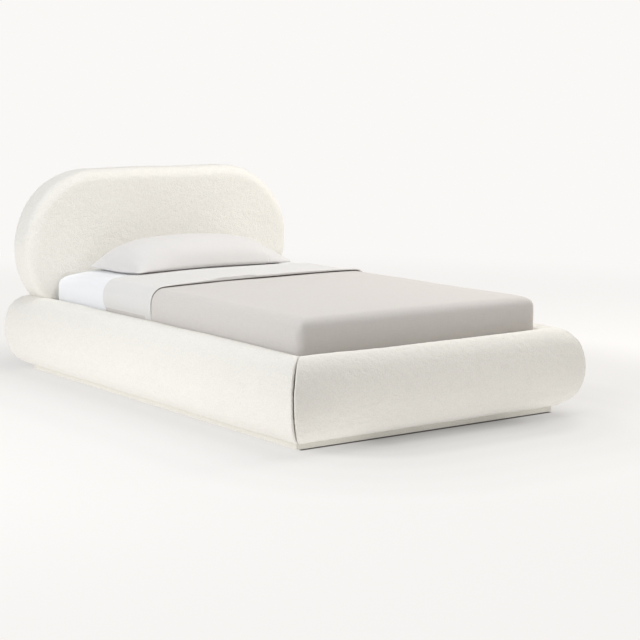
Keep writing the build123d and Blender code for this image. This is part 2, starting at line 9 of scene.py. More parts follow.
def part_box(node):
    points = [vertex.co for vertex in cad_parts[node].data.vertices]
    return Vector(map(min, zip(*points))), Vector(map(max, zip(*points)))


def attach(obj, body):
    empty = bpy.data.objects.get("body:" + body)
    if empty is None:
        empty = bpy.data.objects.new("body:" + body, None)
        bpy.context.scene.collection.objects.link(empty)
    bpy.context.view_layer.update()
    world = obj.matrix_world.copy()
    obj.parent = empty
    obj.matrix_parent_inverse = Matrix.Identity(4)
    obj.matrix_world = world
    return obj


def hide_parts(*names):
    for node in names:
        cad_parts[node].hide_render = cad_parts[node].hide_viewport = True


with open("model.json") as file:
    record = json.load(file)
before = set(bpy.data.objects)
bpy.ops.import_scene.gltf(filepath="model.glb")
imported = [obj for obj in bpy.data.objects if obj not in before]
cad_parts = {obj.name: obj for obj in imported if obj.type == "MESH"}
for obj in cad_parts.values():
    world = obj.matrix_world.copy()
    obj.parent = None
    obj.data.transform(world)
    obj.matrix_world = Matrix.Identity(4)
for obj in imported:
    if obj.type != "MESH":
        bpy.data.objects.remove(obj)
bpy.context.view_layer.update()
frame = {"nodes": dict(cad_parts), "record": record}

nodes = frame["nodes"]
print("frame loaded,", len(nodes), "nodes")


# Small helpers for working as by hand: one piece is taken up, and parts of it are picked by place

def putDown():
    if bpy.context.object and bpy.context.object.mode != "OBJECT":
        bpy.ops.object.mode_set(mode="OBJECT")
    bpy.ops.object.select_all(action="DESELECT")


def takeUp(piece):
    putDown()
    piece.select_set(True)
    bpy.context.view_layer.objects.active = piece


def named(name):
    piece = bpy.context.object
    piece.name = name
    piece.data.name = name
    return piece


def openUp(piece):
    takeUp(piece)
    bpy.ops.object.mode_set(mode="EDIT")


def pick(piece, kind, test):
    bpy.ops.mesh.select_mode(type={"verts": "VERT", "edges": "EDGE", "faces": "FACE"}[kind])
    bpy.ops.mesh.select_all(action="DESELECT")
    mesh = bmesh.from_edit_mesh(piece.data)
    for element in getattr(mesh, kind):
        element.select = test(element)
    mesh.select_flush_mode()
    bmesh.update_edit_mesh(piece.data)


def finishWith(piece, kind, **values):
    modifier = piece.modifiers.new(kind.title(), kind)
    for key, value in values.items():
        setattr(modifier, key, value)
    takeUp(piece)
    bpy.ops.object.modifier_apply(modifier=modifier.name)


def copyOf(piece, name):
    copied = piece.copy()
    copied.data = piece.data.copy()
    copied.name = name
    copied.data.name = name
    bpy.context.scene.collection.objects.link(copied)
    return copied


def throwAway(*pieces):
    for piece in pieces:
        bpy.data.objects.remove(piece)


def joinAll(pieces, name):
    takeUp(pieces[0])
    for piece in pieces:
        piece.select_set(True)
    bpy.ops.object.join()
    return named(name)


def remesh(piece, size):
    takeUp(piece)
    piece.data.remesh_voxel_size = size
    piece.data.use_remesh_fix_poles = False
    bpy.ops.object.voxel_remesh()


def smoothShade(piece):
    takeUp(piece)
    bpy.ops.object.shade_smooth()


def boxPiece(name, low, high):
    putDown()
    centre = [(a + b) / 2 for a, b in zip(low, high)]
    bpy.ops.mesh.primitive_cube_add(size=1, location=centre)
    piece = named(name)
    piece.scale = [b - a for a, b in zip(low, high)]
    bpy.ops.object.transform_apply(location=True, rotation=True, scale=True)
    return piece


# Moves every point by soft noise along its normal
def roughen(piece, depth, size, seed, mask=None):
    mesh = piece.data
    shift = Vector((seed * 7.3, seed * 3.1, seed * 5.7))
    normals = [v.normal.copy() for v in mesh.vertices]
    for vertex, normal in zip(mesh.vertices, normals):
        weight = mask(vertex.co) if mask else 1.0
        if weight:
            vertex.co += normal * (depth * weight * noise.noise(vertex.co / size + shift))
    mesh.update()


def blendStep(value, start, end):
    share = max(0.0, min(1.0, (value - start) / (end - start)))
    return share * share * (3 - 2 * share)


# Camera, lights and floor
studio = {
    "cameraPlace": (-4.1514, -6.1952, 1.3702),
    "cameraYaw": 35.387,
    "cameraDip": 8.0615,
    "lens": 94.84,
    "sensor": 36.0,
    "floorRadius": 900.0,
    "floorTone": (0.240, 0.236, 0.230),
    "floorReach": 8.0,
    # Painted contact shadow: the floor's glow falls nearly to nothing under the plinth and comes back within a
    # centimetre of it
    "contactShadowMiddle": (0.010, 0.0, 0.0),
    "contactShadowHalf": (0.632, 1.108, 0.0),
    "contactShadowReach": 0.010,
    "contactShadowLeast": 0.06,
    # Painted cast shadow: the floor's glow is cut to 0.84 in a soft patch to the right of the bed
    "castShadowMiddle": (1.05, -0.45, 0.0),
    "castShadowHalf": (0.55, 0.35, 0.0),
    "castShadowReach": 0.75,
    "castShadowLeast": 0.84,
    # Painted pool of bounce light: the floor in front of the foot glows brighter, only for rays that are not from the
    # camera, so it lights the foot of the bed unseen
    "bouncePoolMiddle": (0.05, -1.62, 0.0),
    "bouncePoolHalf": (0.60, 0.10, 0.0),
    "bouncePoolReach": 0.42,
    "bouncePoolGain": 0.60,
    "shadeMiddle": (0.035, 0.0, 0.0),
    "shadeHalf": (0.300, 1.112, 0.0),
    "floorStops": [(0.0, 1.0), (1.2, 0.95), (2.8, 0.5), (5.2, 0.0)],
    # The glow the camera sees is low near the bed: painted shade on the floor round it
    "glowStops": [(0.0, 0.24), (0.06, 0.33), (0.16, 0.44), (0.26, 0.50), (0.40, 0.62), (0.60, 0.68), (0.80, 0.72),
                  (1.0, 0.755), (2.8, 0.88), (5.2, 1.0)],
    # The glow that lights the bed, as painted bounce light; it is also low right by the bed as painted shade, and
    # highest some 0.4 to 1 m out
    "bounceStops": [(0.0, 0.40), (0.10, 0.60), (0.25, 0.78), (0.40, 0.80), (0.80, 0.88), (1.4, 0.78), (3.0, 0.45),
                    (5.2, 0.45)],
    "backdrop": (0.956, 0.939, 0.922),
    "skyFill": 0.300,
    "skyTint": (1.0, 0.985, 0.96),
}
softboxes = [
    {"name": "leftFrontBox", "place": (-3.2, -0.8, 2.6), "size": 2.0, "power": 41.0, "tint": (0.965, 0.98, 1.0)},
    {"name": "leftBox", "place": (-4.2, 0.5, 1.1), "size": 1.9, "power": 42.0, "tint": (0.965, 0.98, 1.0)},
    {"name": "topBox", "place": (1.0, -0.9, 4.2), "size": 3.0, "power": 93.0, "tint": (0.985, 0.99, 1.0)},
    {"name": "rightBox", "place": (3.4, -0.8, 2.6), "size": 2.0, "power": 64.0, "tint": (1.0, 0.955, 0.875)},
]


def makeStudio():
    putDown()
    turn = (math.radians(90 - studio["cameraDip"]), 0, -math.radians(studio["cameraYaw"]))
    bpy.ops.object.camera_add(location=studio["cameraPlace"], rotation=turn)
    camera = named("viewCamera")
    camera.data.lens = studio["lens"]
    camera.data.sensor_width = studio["sensor"]
    camera.data.clip_end = 3000
    bpy.context.scene.camera = camera

    putDown()
    bpy.ops.mesh.primitive_circle_add(vertices=128, radius=studio["floorRadius"], fill_type="NGON")
    floor = named("studioFloor")
    floor.data.materials.append(floorMaterial())

    for box in softboxes:
        place = Vector(box["place"])
        aim = Vector((0, 0, 0.3)) - place
        putDown()
        bpy.ops.object.light_add(type="AREA", location=place, rotation=aim.to_track_quat("-Z", "Y").to_euler())
        lamp = named(box["name"])
        lamp.data.size = box["size"]
        lamp.data.energy = box["power"]
        lamp.data.color = box["tint"]

    world = bpy.data.worlds.new("studioWorld")
    bpy.context.scene.world = world
    world.use_nodes = True
    tree = world.node_tree
    tree.nodes.clear()
    fill = tree.nodes.new("ShaderNodeBackground")
    fill.inputs["Color"].default_value = (*studio["skyTint"], 1)
    fill.inputs["Strength"].default_value = studio["skyFill"]
    seen = tree.nodes.new("ShaderNodeBackground")
    seen.inputs["Color"].default_value = (*studio["backdrop"], 1)
    path = tree.nodes.new("ShaderNodeLightPath")
    mix = tree.nodes.new("ShaderNodeMixShader")
    out = tree.nodes.new("ShaderNodeOutputWorld")
    tree.links.new(path.outputs["Is Camera Ray"], mix.inputs["Fac"])
    tree.links.new(fill.outputs["Background"], mix.inputs[1])
    tree.links.new(seen.outputs["Background"], mix.inputs[2])
    tree.links.new(mix.outputs["Shader"], out.inputs["Surface"])
    bpy.context.scene.view_settings.view_transform = "Standard"
    print("studio ready")


# Shader groups, each built once and placed in the materials with its own values

def newGroup(name, inputs, outputs):
    group = bpy.data.node_groups.new(name, "ShaderNodeTree")
    for label, kind, value in inputs:
        socket = group.interface.new_socket(name=label, in_out="INPUT", socket_type=kind)
        if value is not None:
            socket.default_value = value
    for label, kind in outputs:
        group.interface.new_socket(name=label, in_out="OUTPUT", socket_type=kind)
    start = group.nodes.new("NodeGroupInput")
    end = group.nodes.new("NodeGroupOutput")
    return group, start, end


def addNode(tree, kind, values=None, **settings):
    node = tree.nodes.new(kind)
    for key, value in settings.items():
        setattr(node, key, value)
    for key, value in (values or {}).items():
        node.inputs[key].default_value = value
    return node


def wire(tree, source, target):
    tree.links.new(source, target)


def mathNode(tree, operation, first, second=None):
    node = addNode(tree, "ShaderNodeMath", operation=operation)
    for slot, value in enumerate((first, second)):
        if value is None:
            continue
        if isinstance(value, (int, float)):
            node.inputs[slot].default_value = value
        else:
            wire(tree, value, node.inputs[slot])
    return node.outputs[0]


# Looped yarn: small round loops in rows that wander, and soft patches of lighter and darker pile
def makeLoopGroup():
    group, start, end = newGroup(
        "loopedYarn",
        [("Place", "NodeSocketVector", None), ("Loops Per Metre", "NodeSocketFloat", 120.0),
         ("Patch Scale", "NodeSocketFloat", 14.0)],
        [("Height", "NodeSocketFloat"), ("Pile", "NodeSocketFloat"), ("Patch", "NodeSocketFloat")],
    )
    drift = addNode(group, "ShaderNodeTexNoise", {"Scale": 45.0, "Detail": 2.0})
    wire(group, start.outputs["Place"], drift.inputs["Vector"])
    offset = addNode(group, "ShaderNodeVectorMath", operation="SCALE")
    offset.inputs["Scale"].default_value = 0.012
    wire(group, drift.outputs["Color"], offset.inputs[0])
    moved = addNode(group, "ShaderNodeVectorMath", operation="ADD")
    wire(group, start.outputs["Place"], moved.inputs[0])
    wire(group, offset.outputs[0], moved.inputs[1])
    loops = addNode(group, "ShaderNodeTexVoronoi", {"Randomness": 0.9}, feature="F1")
    wire(group, moved.outputs[0], loops.inputs["Vector"])
    wire(group, start.outputs["Loops Per Metre"], loops.inputs["Scale"])
    strands = addNode(group, "ShaderNodeTexNoise", {"Scale": 420.0, "Detail": 2.0, "Roughness": 0.6})
    wire(group, moved.outputs[0], strands.inputs["Vector"])
    dome = mathNode(group, "SUBTRACT", 1.0, loops.outputs["Distance"])
    height = mathNode(group, "MULTIPLY_ADD", strands.outputs["Fac"], 0.45)
    wire(group, dome, height.node.inputs[2])
    wire(group, height, end.inputs["Height"])
    pile = mathNode(group, "MULTIPLY", height, 0.7)
    wire(group, pile, end.inputs["Pile"])
    patch = addNode(group, "ShaderNodeTexNoise", {"Detail": 3.0, "Roughness": 0.55})
    wire(group, start.outputs["Place"], patch.inputs["Vector"])
    wire(group, start.outputs["Patch Scale"], patch.inputs["Scale"])
    wire(group, patch.outputs["Fac"], end.inputs["Patch"])
    return group


# Woven cloth: two sets of threads, uneven slubs along them, and soft creases
def makeWeaveGroup():
    group, start, end = newGroup(
        "wovenCloth",
        [("Place", "NodeSocketVector", None), ("Threads Per Metre", "NodeSocketFloat", 900.0),
         ("Slub Scale", "NodeSocketFloat", 60.0), ("Crease Scale", "NodeSocketFloat", 7.0)],
        [("Height", "NodeSocketFloat"), ("Slub", "NodeSocketFloat"), ("Crease", "NodeSocketFloat")],
    )
    parts = addNode(group, "ShaderNodeSeparateXYZ")
    wire(group, start.outputs["Place"], parts.inputs[0])
    threads = []
    for axis in ("X", "Y"):
        count = mathNode(group, "MULTIPLY", parts.outputs[axis], start.outputs["Threads Per Metre"])
        threads.append(mathNode(group, "ABSOLUTE", mathNode(group, "SINE", count)))
    weave = mathNode(group, "MULTIPLY", threads[0], threads[1])
    stretched = []
    for scale in ((1.0, 0.06, 1.0), (0.06, 1.0, 1.0)):
        mapping = addNode(group, "ShaderNodeMapping", {"Scale": scale})
        wire(group, start.outputs["Place"], mapping.inputs["Vector"])
        slub = addNode(group, "ShaderNodeTexNoise", {"Detail": 2.0, "Roughness": 0.7})
        wire(group, mapping.outputs[0], slub.inputs["Vector"])
        wire(group, mathNode(group, "MULTIPLY", start.outputs["Slub Scale"], 8.0), slub.inputs["Scale"])
        stretched.append(slub.outputs["Fac"])
    slubs = mathNode(group, "ADD", mathNode(group, "MULTIPLY", stretched[0], 0.5),
                     mathNode(group, "MULTIPLY", stretched[1], 0.5))
    height = mathNode(group, "ADD", mathNode(group, "MULTIPLY", weave, 0.35), slubs)
    wire(group, height, end.inputs["Height"])
    wire(group, slubs, end.inputs["Slub"])
    crease = addNode(group, "ShaderNodeTexNoise", {"Detail": 4.0, "Roughness": 0.5, "Distortion": 0.6})
    wire(group, start.outputs["Place"], crease.inputs["Vector"])
    wire(group, start.outputs["Crease Scale"], crease.inputs["Scale"])
    wire(group, crease.outputs["Fac"], end.inputs["Crease"])
    return group


# Wood: growth rings drawn out along one axis, with fine pores
def makeGrainGroup():
    group, start, end = newGroup(
        "woodGrain",
        [("Place", "NodeSocketVector", None), ("Stretch", "NodeSocketVector", (1.0, 1.0, 1.0)),
         ("Ring Scale", "NodeSocketFloat", 30.0)],
        [("Height", "NodeSocketFloat"), ("Ring", "NodeSocketFloat"), ("Pore", "NodeSocketFloat")],
    )
    scaled = addNode(group, "ShaderNodeVectorMath", operation="MULTIPLY")
    wire(group, start.outputs["Place"], scaled.inputs[0])
    wire(group, start.outputs["Stretch"], scaled.inputs[1])
    rings = addNode(group, "ShaderNodeTexNoise", {"Detail": 3.0, "Roughness": 0.5, "Distortion": 1.2})
    wire(group, scaled.outputs[0], rings.inputs["Vector"])
    wire(group, start.outputs["Ring Scale"], rings.inputs["Scale"])
    banded = mathNode(group, "FRACT", mathNode(group, "MULTIPLY", rings.outputs["Fac"], 6.0))
    pores = addNode(group, "ShaderNodeTexNoise", {"Detail": 2.0, "Roughness": 0.6})
    wire(group, scaled.outputs[0], pores.inputs["Vector"])
    wire(group, mathNode(group, "MULTIPLY", start.outputs["Ring Scale"], 14.0), pores.inputs["Scale"])
    height = mathNode(group, "ADD", mathNode(group, "MULTIPLY", banded, 0.4), pores.outputs["Fac"])
    wire(group, height, end.inputs["Height"])
    wire(group, banded, end.inputs["Ring"])
    wire(group, pores.outputs["Fac"], end.inputs["Pore"])
    return group


# Fine speckle and handling marks, for metal, felt and plastic
def makeSpeckleGroup():
    group, start, end = newGroup(
        "fineSpeckle",
        [("Place", "NodeSocketVector", None), ("Speck Scale", "NodeSocketFloat", 400.0)],
        [("Height", "NodeSocketFloat"), ("Mark", "NodeSocketFloat")],
    )
    speck = addNode(group, "ShaderNodeTexNoise", {"Detail": 2.0})
    wire(group, start.outputs["Place"], speck.inputs["Vector"])
    wire(group, start.outputs["Speck Scale"], speck.inputs["Scale"])
    mark = addNode(group, "ShaderNodeTexNoise", {"Scale": 35.0, "Detail": 4.0})
    wire(group, start.outputs["Place"], mark.inputs["Vector"])
    wire(group, speck.outputs["Fac"], end.inputs["Height"])
    wire(group, mark.outputs["Fac"], end.inputs["Mark"])
    return group


groups = {
    "loops": makeLoopGroup(),
    "weave": makeWeaveGroup(),
    "grain": makeGrainGroup(),
    "speckle": makeSpeckleGroup(),
}


def startMaterial(name, groupName, values, onCloth=False):
    material = bpy.data.materials.new(name)
    material.use_nodes = True
    tree = material.node_tree
    shader = tree.nodes["Principled BSDF"]
    place = addNode(tree, "ShaderNodeTexCoord")
    group = addNode(tree, "ShaderNodeGroup")
    group.node_tree = groups[groupName]
    wire(tree, place.outputs["UV" if onCloth else "Object"], group.inputs["Place"])
    for key, value in values.items():
        group.inputs[key].default_value = value
    return material, tree, shader, group


def colourFrom(tree, mask, shader, stops, target="Base Color"):
    ramp = addNode(tree, "ShaderNodeValToRGB")
    elements = ramp.color_ramp.elements
    while len(elements) < len(stops):
        elements.new(0.5)
    for element, (place, colour) in zip(elements, stops):
        element.position = place
        element.color = (*colour, 1)
    wire(tree, mask, ramp.inputs["Fac"])
    wire(tree, ramp.outputs["Color"], shader.inputs[target])
    return ramp


def bumpFrom(tree, height, shader, depth, strength=1.0, under=None):
    bump = addNode(tree, "ShaderNodeBump", {"Distance": depth, "Strength": strength})
    wire(tree, height, bump.inputs["Height"])
    if under:
        wire(tree, under.outputs["Normal"], bump.inputs["Normal"])
    wire(tree, bump.outputs["Normal"], shader.inputs["Normal"])
    return bump


# The floor glows more and more away from the bed, so that it runs into the backdrop without a horizon. Its glow also
# holds painted light: painted contact shadow under the plinth, painted shade near the bed, a painted cast shadow to
# the right of the bed, and a painted pool of bounce light in front of the foot that lights the bed but is not seen by
# the camera.
def floorMaterial():
    material = bpy.data.materials.new("paleFloor")
    material.use_nodes = True
    tree = material.node_tree
    shader = tree.nodes["Principled BSDF"]
    place = addNode(tree, "ShaderNodeTexCoord")

    def awayFrom(middle, half):
        fromMiddle = addNode(tree, "ShaderNodeVectorMath", {1: middle}, operation="SUBTRACT")
        wire(tree, place.outputs["Object"], fromMiddle.inputs[0])
        unsigned = addNode(tree, "ShaderNodeVectorMath", operation="ABSOLUTE")
        wire(tree, fromMiddle.outputs[0], unsigned.inputs[0])
        beyondBed = addNode(tree, "ShaderNodeVectorMath", {1: half}, operation="SUBTRACT")
        wire(tree, unsigned.outputs[0], beyondBed.inputs[0])
        outside = addNode(tree, "ShaderNodeVectorMath", {1: (0, 0, 0)}, operation="MAXIMUM")
        wire(tree, beyondBed.outputs[0], outside.inputs[0])
        away = addNode(tree, "ShaderNodeVectorMath", operation="LENGTH")
        wire(tree, outside.outputs[0], away.inputs[0])
        return away.outputs["Value"]

    share = mathNode(tree, "DIVIDE", awayFrom(studio["shadeMiddle"], studio["shadeHalf"]), studio["floorReach"])

    def softTo(middle, half, reach, least, most=1.0):
        soft = addNode(tree, "ShaderNodeMapRange", {"From Max": reach, "To Min": least, "To Max": most},
                       interpolation_type="SMOOTHSTEP")
        wire(tree, awayFrom(middle, half), soft.inputs["Value"])
        return soft.outputs["Result"]

    # painted contact shadow under the plinth
    contactShadow = softTo(studio["contactShadowMiddle"], studio["contactShadowHalf"], studio["contactShadowReach"], studio["contactShadowLeast"])
    # painted cast shadow on the floor to the right of the bed
    castShadow = softTo(studio["castShadowMiddle"], studio["castShadowHalf"], studio["castShadowReach"], studio["castShadowLeast"])
    # Both glow ramps fall off towards the bed: painted shade on the floor round it
    ramps = []
    for tone, stops, target in (("floorTone", "floorStops", "Base Color"), ("backdrop", "glowStops", "Emission Color"),
                                ("backdrop", "bounceStops", "Emission Color")):
        steps = [(reach / studio["floorReach"], [c * level for c in studio[tone]]) for reach, level in studio[stops]]
        ramps.append(colourFrom(tree, share, shader, steps, target))
        ramps[-1].color_ramp.interpolation = "EASE"
    path = addNode(tree, "ShaderNodeLightPath")
    seen = addNode(tree, "ShaderNodeMix", data_type="RGBA")
    wire(tree, path.outputs["Is Camera Ray"], seen.inputs[0])
    wire(tree, ramps[2].outputs["Color"], seen.inputs[6])
    wire(tree, ramps[1].outputs["Color"], seen.inputs[7])
    wire(tree, seen.outputs[2], shader.inputs["Emission Color"])
    # patch is the painted pool of bounce light in front of the foot; gain raises the glow only for rays that are not
    # from the camera
    patch = softTo(studio["bouncePoolMiddle"], studio["bouncePoolHalf"], studio["bouncePoolReach"], studio["bouncePoolGain"], 0.0)
    unseen = mathNode(tree, "SUBTRACT", 1.0, path.outputs["Is Camera Ray"])
    gain = mathNode(tree, "ADD", mathNode(tree, "MULTIPLY", patch, unseen), 1.0)
    strength = mathNode(tree, "MULTIPLY", mathNode(tree, "MULTIPLY", contactShadow, castShadow), gain)
    wire(tree, strength, shader.inputs["Emission Strength"])
    shader.inputs["Roughness"].default_value = 0.9
    shader.inputs["Specular IOR Level"].default_value = 0.0
    return material


def boucleMaterial(name, tone, depth=0.0016):
    material, tree, shader, group = startMaterial(name, "loops", {"Loops Per Metre": 165.0})
    mixed = mathNode(tree, "ADD", mathNode(tree, "MULTIPLY", group.outputs["Pile"], 0.8),
                     mathNode(tree, "MULTIPLY", group.outputs["Patch"], 0.2))
    low = [c * 0.945 for c in tone]
    high = [min(1.0, c * 1.02) for c in tone]
    colourFrom(tree, mixed, shader, [(0.30, low), (0.72, high)])
    bumpFrom(tree, group.outputs["Height"], shader, depth)
    shader.inputs["Roughness"].default_value = 0.95
    shader.inputs["Specular IOR Level"].default_value = 0.15
    shader.inputs["Sheen Weight"].default_value = 0.25
    shader.inputs["Sheen Roughness"].default_value = 0.6
    return material


def clothMaterial(name, tone, threads, slub, depth, contrast=0.05, sheen=0.1):
    material, tree, shader, group = startMaterial(
        name, "weave", {"Threads Per Metre": threads, "Slub Scale": slub}, onCloth=True)
    low = [c * (1 - contrast) for c in tone]
    high = [min(1.0, c * (1 + contrast * 0.6)) for c in tone]
    colourFrom(tree, group.outputs["Slub"], shader, [(0.35, low), (0.65, high)])
    creases = addNode(tree, "ShaderNodeBump", {"Distance": 0.004, "Strength": 0.35})
    wire(tree, group.outputs["Crease"], creases.inputs["Height"])
    bumpFrom(tree, group.outputs["Height"], shader, depth, under=creases)
    shader.inputs["Roughness"].default_value = 0.88
    shader.inputs["Specular IOR Level"].default_value = 0.2
    shader.inputs["Sheen Weight"].default_value = sheen
    return material


def woodMaterial(name, light, dark, stretch, rings, roughness=0.6):
    material, tree, shader, group = startMaterial(name, "grain", {"Stretch": stretch, "Ring Scale": rings})
    mixed = mathNode(tree, "ADD", mathNode(tree, "MULTIPLY", group.outputs["Ring"], 0.55),
                     mathNode(tree, "MULTIPLY", group.outputs["Pore"], 0.45))
    colourFrom(tree, mixed, shader, [(0.15, dark), (0.75, light)])
    bumpFrom(tree, group.outputs["Height"], shader, 0.0003)
    shader.inputs["Roughness"].default_value = roughness
    return material


def metalMaterial(name, tone, metallic, roughness, contrast=0.12):
    material, tree, shader, group = startMaterial(name, "speckle", {"Speck Scale": 700.0})
    low = [c * (1 - contrast) for c in tone]
    high = [min(1.0, c * (1 + contrast)) for c in tone]
    colourFrom(tree, group.outputs["Mark"], shader, [(0.35, low), (0.65, high)])
    bumpFrom(tree, group.outputs["Height"], shader, 0.00008)
    shader.inputs["Metallic"].default_value = metallic
    shader.inputs["Roughness"].default_value = roughness
    return material


def fibreMaterial(name, tone, scale, depth):
    material, tree, shader, group = startMaterial(name, "speckle", {"Speck Scale": scale})
    low = [c * 0.85 for c in tone]
    high = [min(1.0, c * 1.1) for c in tone]
    colourFrom(tree, group.outputs["Height"], shader, [(0.35, low), (0.65, high)])
    bumpFrom(tree, group.outputs["Height"], shader, depth)
    shader.inputs["Roughness"].default_value = 0.95
    shader.inputs["Specular IOR Level"].default_value = 0.15
    return material


makeStudio()

finishes = {
    "boucle": boucleMaterial("ivoryBoucle", (0.885, 0.865, 0.812)),
    "plinth_fabric": boucleMaterial("plinthBoucle", (0.86, 0.84, 0.775), depth=0.0012),
    "foam": fibreMaterial("paleFoam", (0.88, 0.86, 0.78), 260.0, 0.0006),
    "plywood": woodMaterial("birchPlywood", (0.76, 0.63, 0.45), (0.62, 0.48, 0.31), (3.0, 0.35, 3.0), 14.0),
    "pine": woodMaterial("planedPine", (0.83, 0.69, 0.48), (0.70, 0.51, 0.30), (4.0, 0.25, 4.0), 16.0),
    "slat_wood": woodMaterial("slatBeech", (0.85, 0.73, 0.55), (0.74, 0.59, 0.41), (0.25, 4.0, 4.0), 18.0, 0.45),
    "webbing": fibreMaterial("cottonWebbing", (0.75, 0.73, 0.68), 900.0, 0.0004),
    "felt": fibreMaterial("greyFelt", (0.32, 0.31, 0.30), 1400.0, 0.0004),
    "black_steel": metalMaterial("blackSteel", (0.05, 0.05, 0.055), 0.0, 0.5),
    "zinc_steel": metalMaterial("zincSteel", (0.70, 0.71, 0.73), 1.0, 0.35),
    "black_plastic": metalMaterial("blackPlastic", (0.06, 0.06, 0.06), 0.0, 0.45),
    "ticking": clothMaterial("mattressTicking", (0.90, 0.89, 0.87), 1100.0, 50.0, 0.0004),
    "white_cotton": clothMaterial("whiteCotton", (0.880, 0.890, 0.912), 1800.0, 70.0, 0.0002, 0.015),
    "grey_cotton": clothMaterial("greyCotton", (0.765, 0.756, 0.744), 1800.0, 70.0, 0.0003, 0.03),
    "greige_linen": clothMaterial("greigeLinen", (0.680, 0.649, 0.622), 1100.0, 45.0, 0.0005, 0.05),
    "filling": fibreMaterial("whiteFilling", (0.92, 0.92, 0.90), 300.0, 0.0006),
    "pillow_cotton": clothMaterial("pillowCotton", (0.749, 0.734, 0.724), 1800.0, 70.0, 0.0003, 0.03),
}
print("finishes ready")


# Every kept CAD node wears its slot's finish
slotOf = {part["node"]: part["material_slot"] for part in frame["record"]["subparts"]}
for nodeName, node in nodes.items():
    node.data.materials.clear()
    node.data.materials.append(finishes[slotOf[nodeName]])


def dress(piece, slotName, body, *replaced):
    piece.data.materials.clear()
    piece.data.materials.append(finishes[slotName])
    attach(piece, body)
    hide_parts(*replaced)
    return piece


# Rails: one rounded section drawn with arcs, drawn out, mitred, then remeshed and softened as padding
leftLow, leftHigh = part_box("left_rail_cover")
footLow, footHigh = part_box("foot_rail_cover")
railDesign = {
    "halfWell": -leftHigh.x,
    "halfRing": -footHigh.y,
    "base": leftLow.z,
    "top": leftHigh.z,
    "bulge": leftHigh.x - leftLow.x,
    "shoulderRound": 0.100,
    "bellyRound": 0.300,
    "innerRound": 0.014,
    "mitrePull": 0.0005,
    "slitPull": 0.0009,
    "cornerNudge": 0.006,
    "voxel": 0.006,
    "softenTurns": 5,
    "endTurns": 120,
    "endReach": (0.030, 0.075),
    "endOuter": (0.030, 0.110),
    "rearShare": 0.3,
    "footShift": 0.002,
    "innerDrop": 0.018,
    "sideDrop": 0.009,
    "dropWidth": 0.085,
    "softDepth": 0.0030,
    "softSize": 0.30,
    "nubDepth": 0.0012,
    "nubSize": 0.017,
}


def railSection(grow):
    d = railDesign
    base = d["base"] - grow
    top = d["top"] + grow
    centre = (d["base"] + d["top"]) / 2
    rise = (d["top"] - d["base"]) / 2 - d["shoulderRound"]
    bellyCentre = d["bulge"] - d["bellyRound"]
    reach = d["bellyRound"] - d["shoulderRound"]
    step = math.sqrt(reach ** 2 - rise ** 2)
    shoulderCentre = bellyCentre + step
    turn = math.atan2(rise, step)
    quarter = math.pi / 2
    inner = d["innerRound"]

    def line(start, end):
        shift = (end[0] - start[0], 0, end[1] - start[1])
        bpy.ops.mesh.extrude_vertices_move(TRANSFORM_OT_translate={"value": shift})

    def arc(x, z, sweep, steps):
        bpy.ops.mesh.spin(steps=steps, angle=sweep, center=(x, 0, z), axis=(0, -1, 0))

    putDown()
    bpy.ops.mesh.primitive_plane_add(size=0.01, location=(-grow, 0, base))
    section = named("railSection")
    bpy.ops.object.transform_apply(location=True)
    bpy.ops.object.mode_set(mode="EDIT")
    bpy.ops.mesh.select_all(action="SELECT")
    bpy.ops.mesh.merge(type="CENTER")
    line((-grow, base), (-grow, d["top"] - inner))
    arc(inner, d["top"] - inner, quarter, 4)
    line((inner, top), (shoulderCentre, top))
    arc(shoulderCentre, centre + rise, quarter - turn, 12)
    arc(bellyCentre, centre, 2 * turn, 10)
    arc(shoulderCentre, centre - rise, quarter - turn, 12)
    line((shoulderCentre, base), (-grow, base))
    bpy.ops.mesh.select_all(action="SELECT")
    bpy.ops.mesh.remove_doubles(threshold=0.0001)
    bpy.ops.mesh.edge_face_add()
    bpy.ops.object.mode_set(mode="OBJECT")
    return section


def railBar(name, length, grow=0.0):
    bar = railSection(grow)
    bar.name = name
    openUp(bar)
    bpy.ops.mesh.select_all(action="SELECT")
    bpy.ops.transform.translate(value=(0, -length / 2, 0))
    bpy.ops.mesh.extrude_region_move(TRANSFORM_OT_translate={"value": (0, length, 0)})
    bpy.ops.mesh.select_all(action="SELECT")
    bpy.ops.mesh.normals_make_consistent(inside=False)
    bpy.ops.object.mode_set(mode="OBJECT")
    return bar


def setRound(piece, distance, turn):
    piece.data.transform(Matrix.Rotation(math.radians(turn), 4, "Z") @ Matrix.Translation((distance, 0, 0)))


def sideways(turn, place):
    return Matrix.Rotation(math.radians(turn), 3, "Z") @ place


railSides = {
    "left": (railDesign["halfWell"], 2 * railDesign["halfRing"], 180),
    "right": (railDesign["halfWell"], 2 * railDesign["halfRing"], 0),
    "foot": (railDesign["halfRing"], 2 * railDesign["halfWell"], -90),
    "head": (railDesign["halfRing"], 2 * railDesign["halfWell"], 90),
}


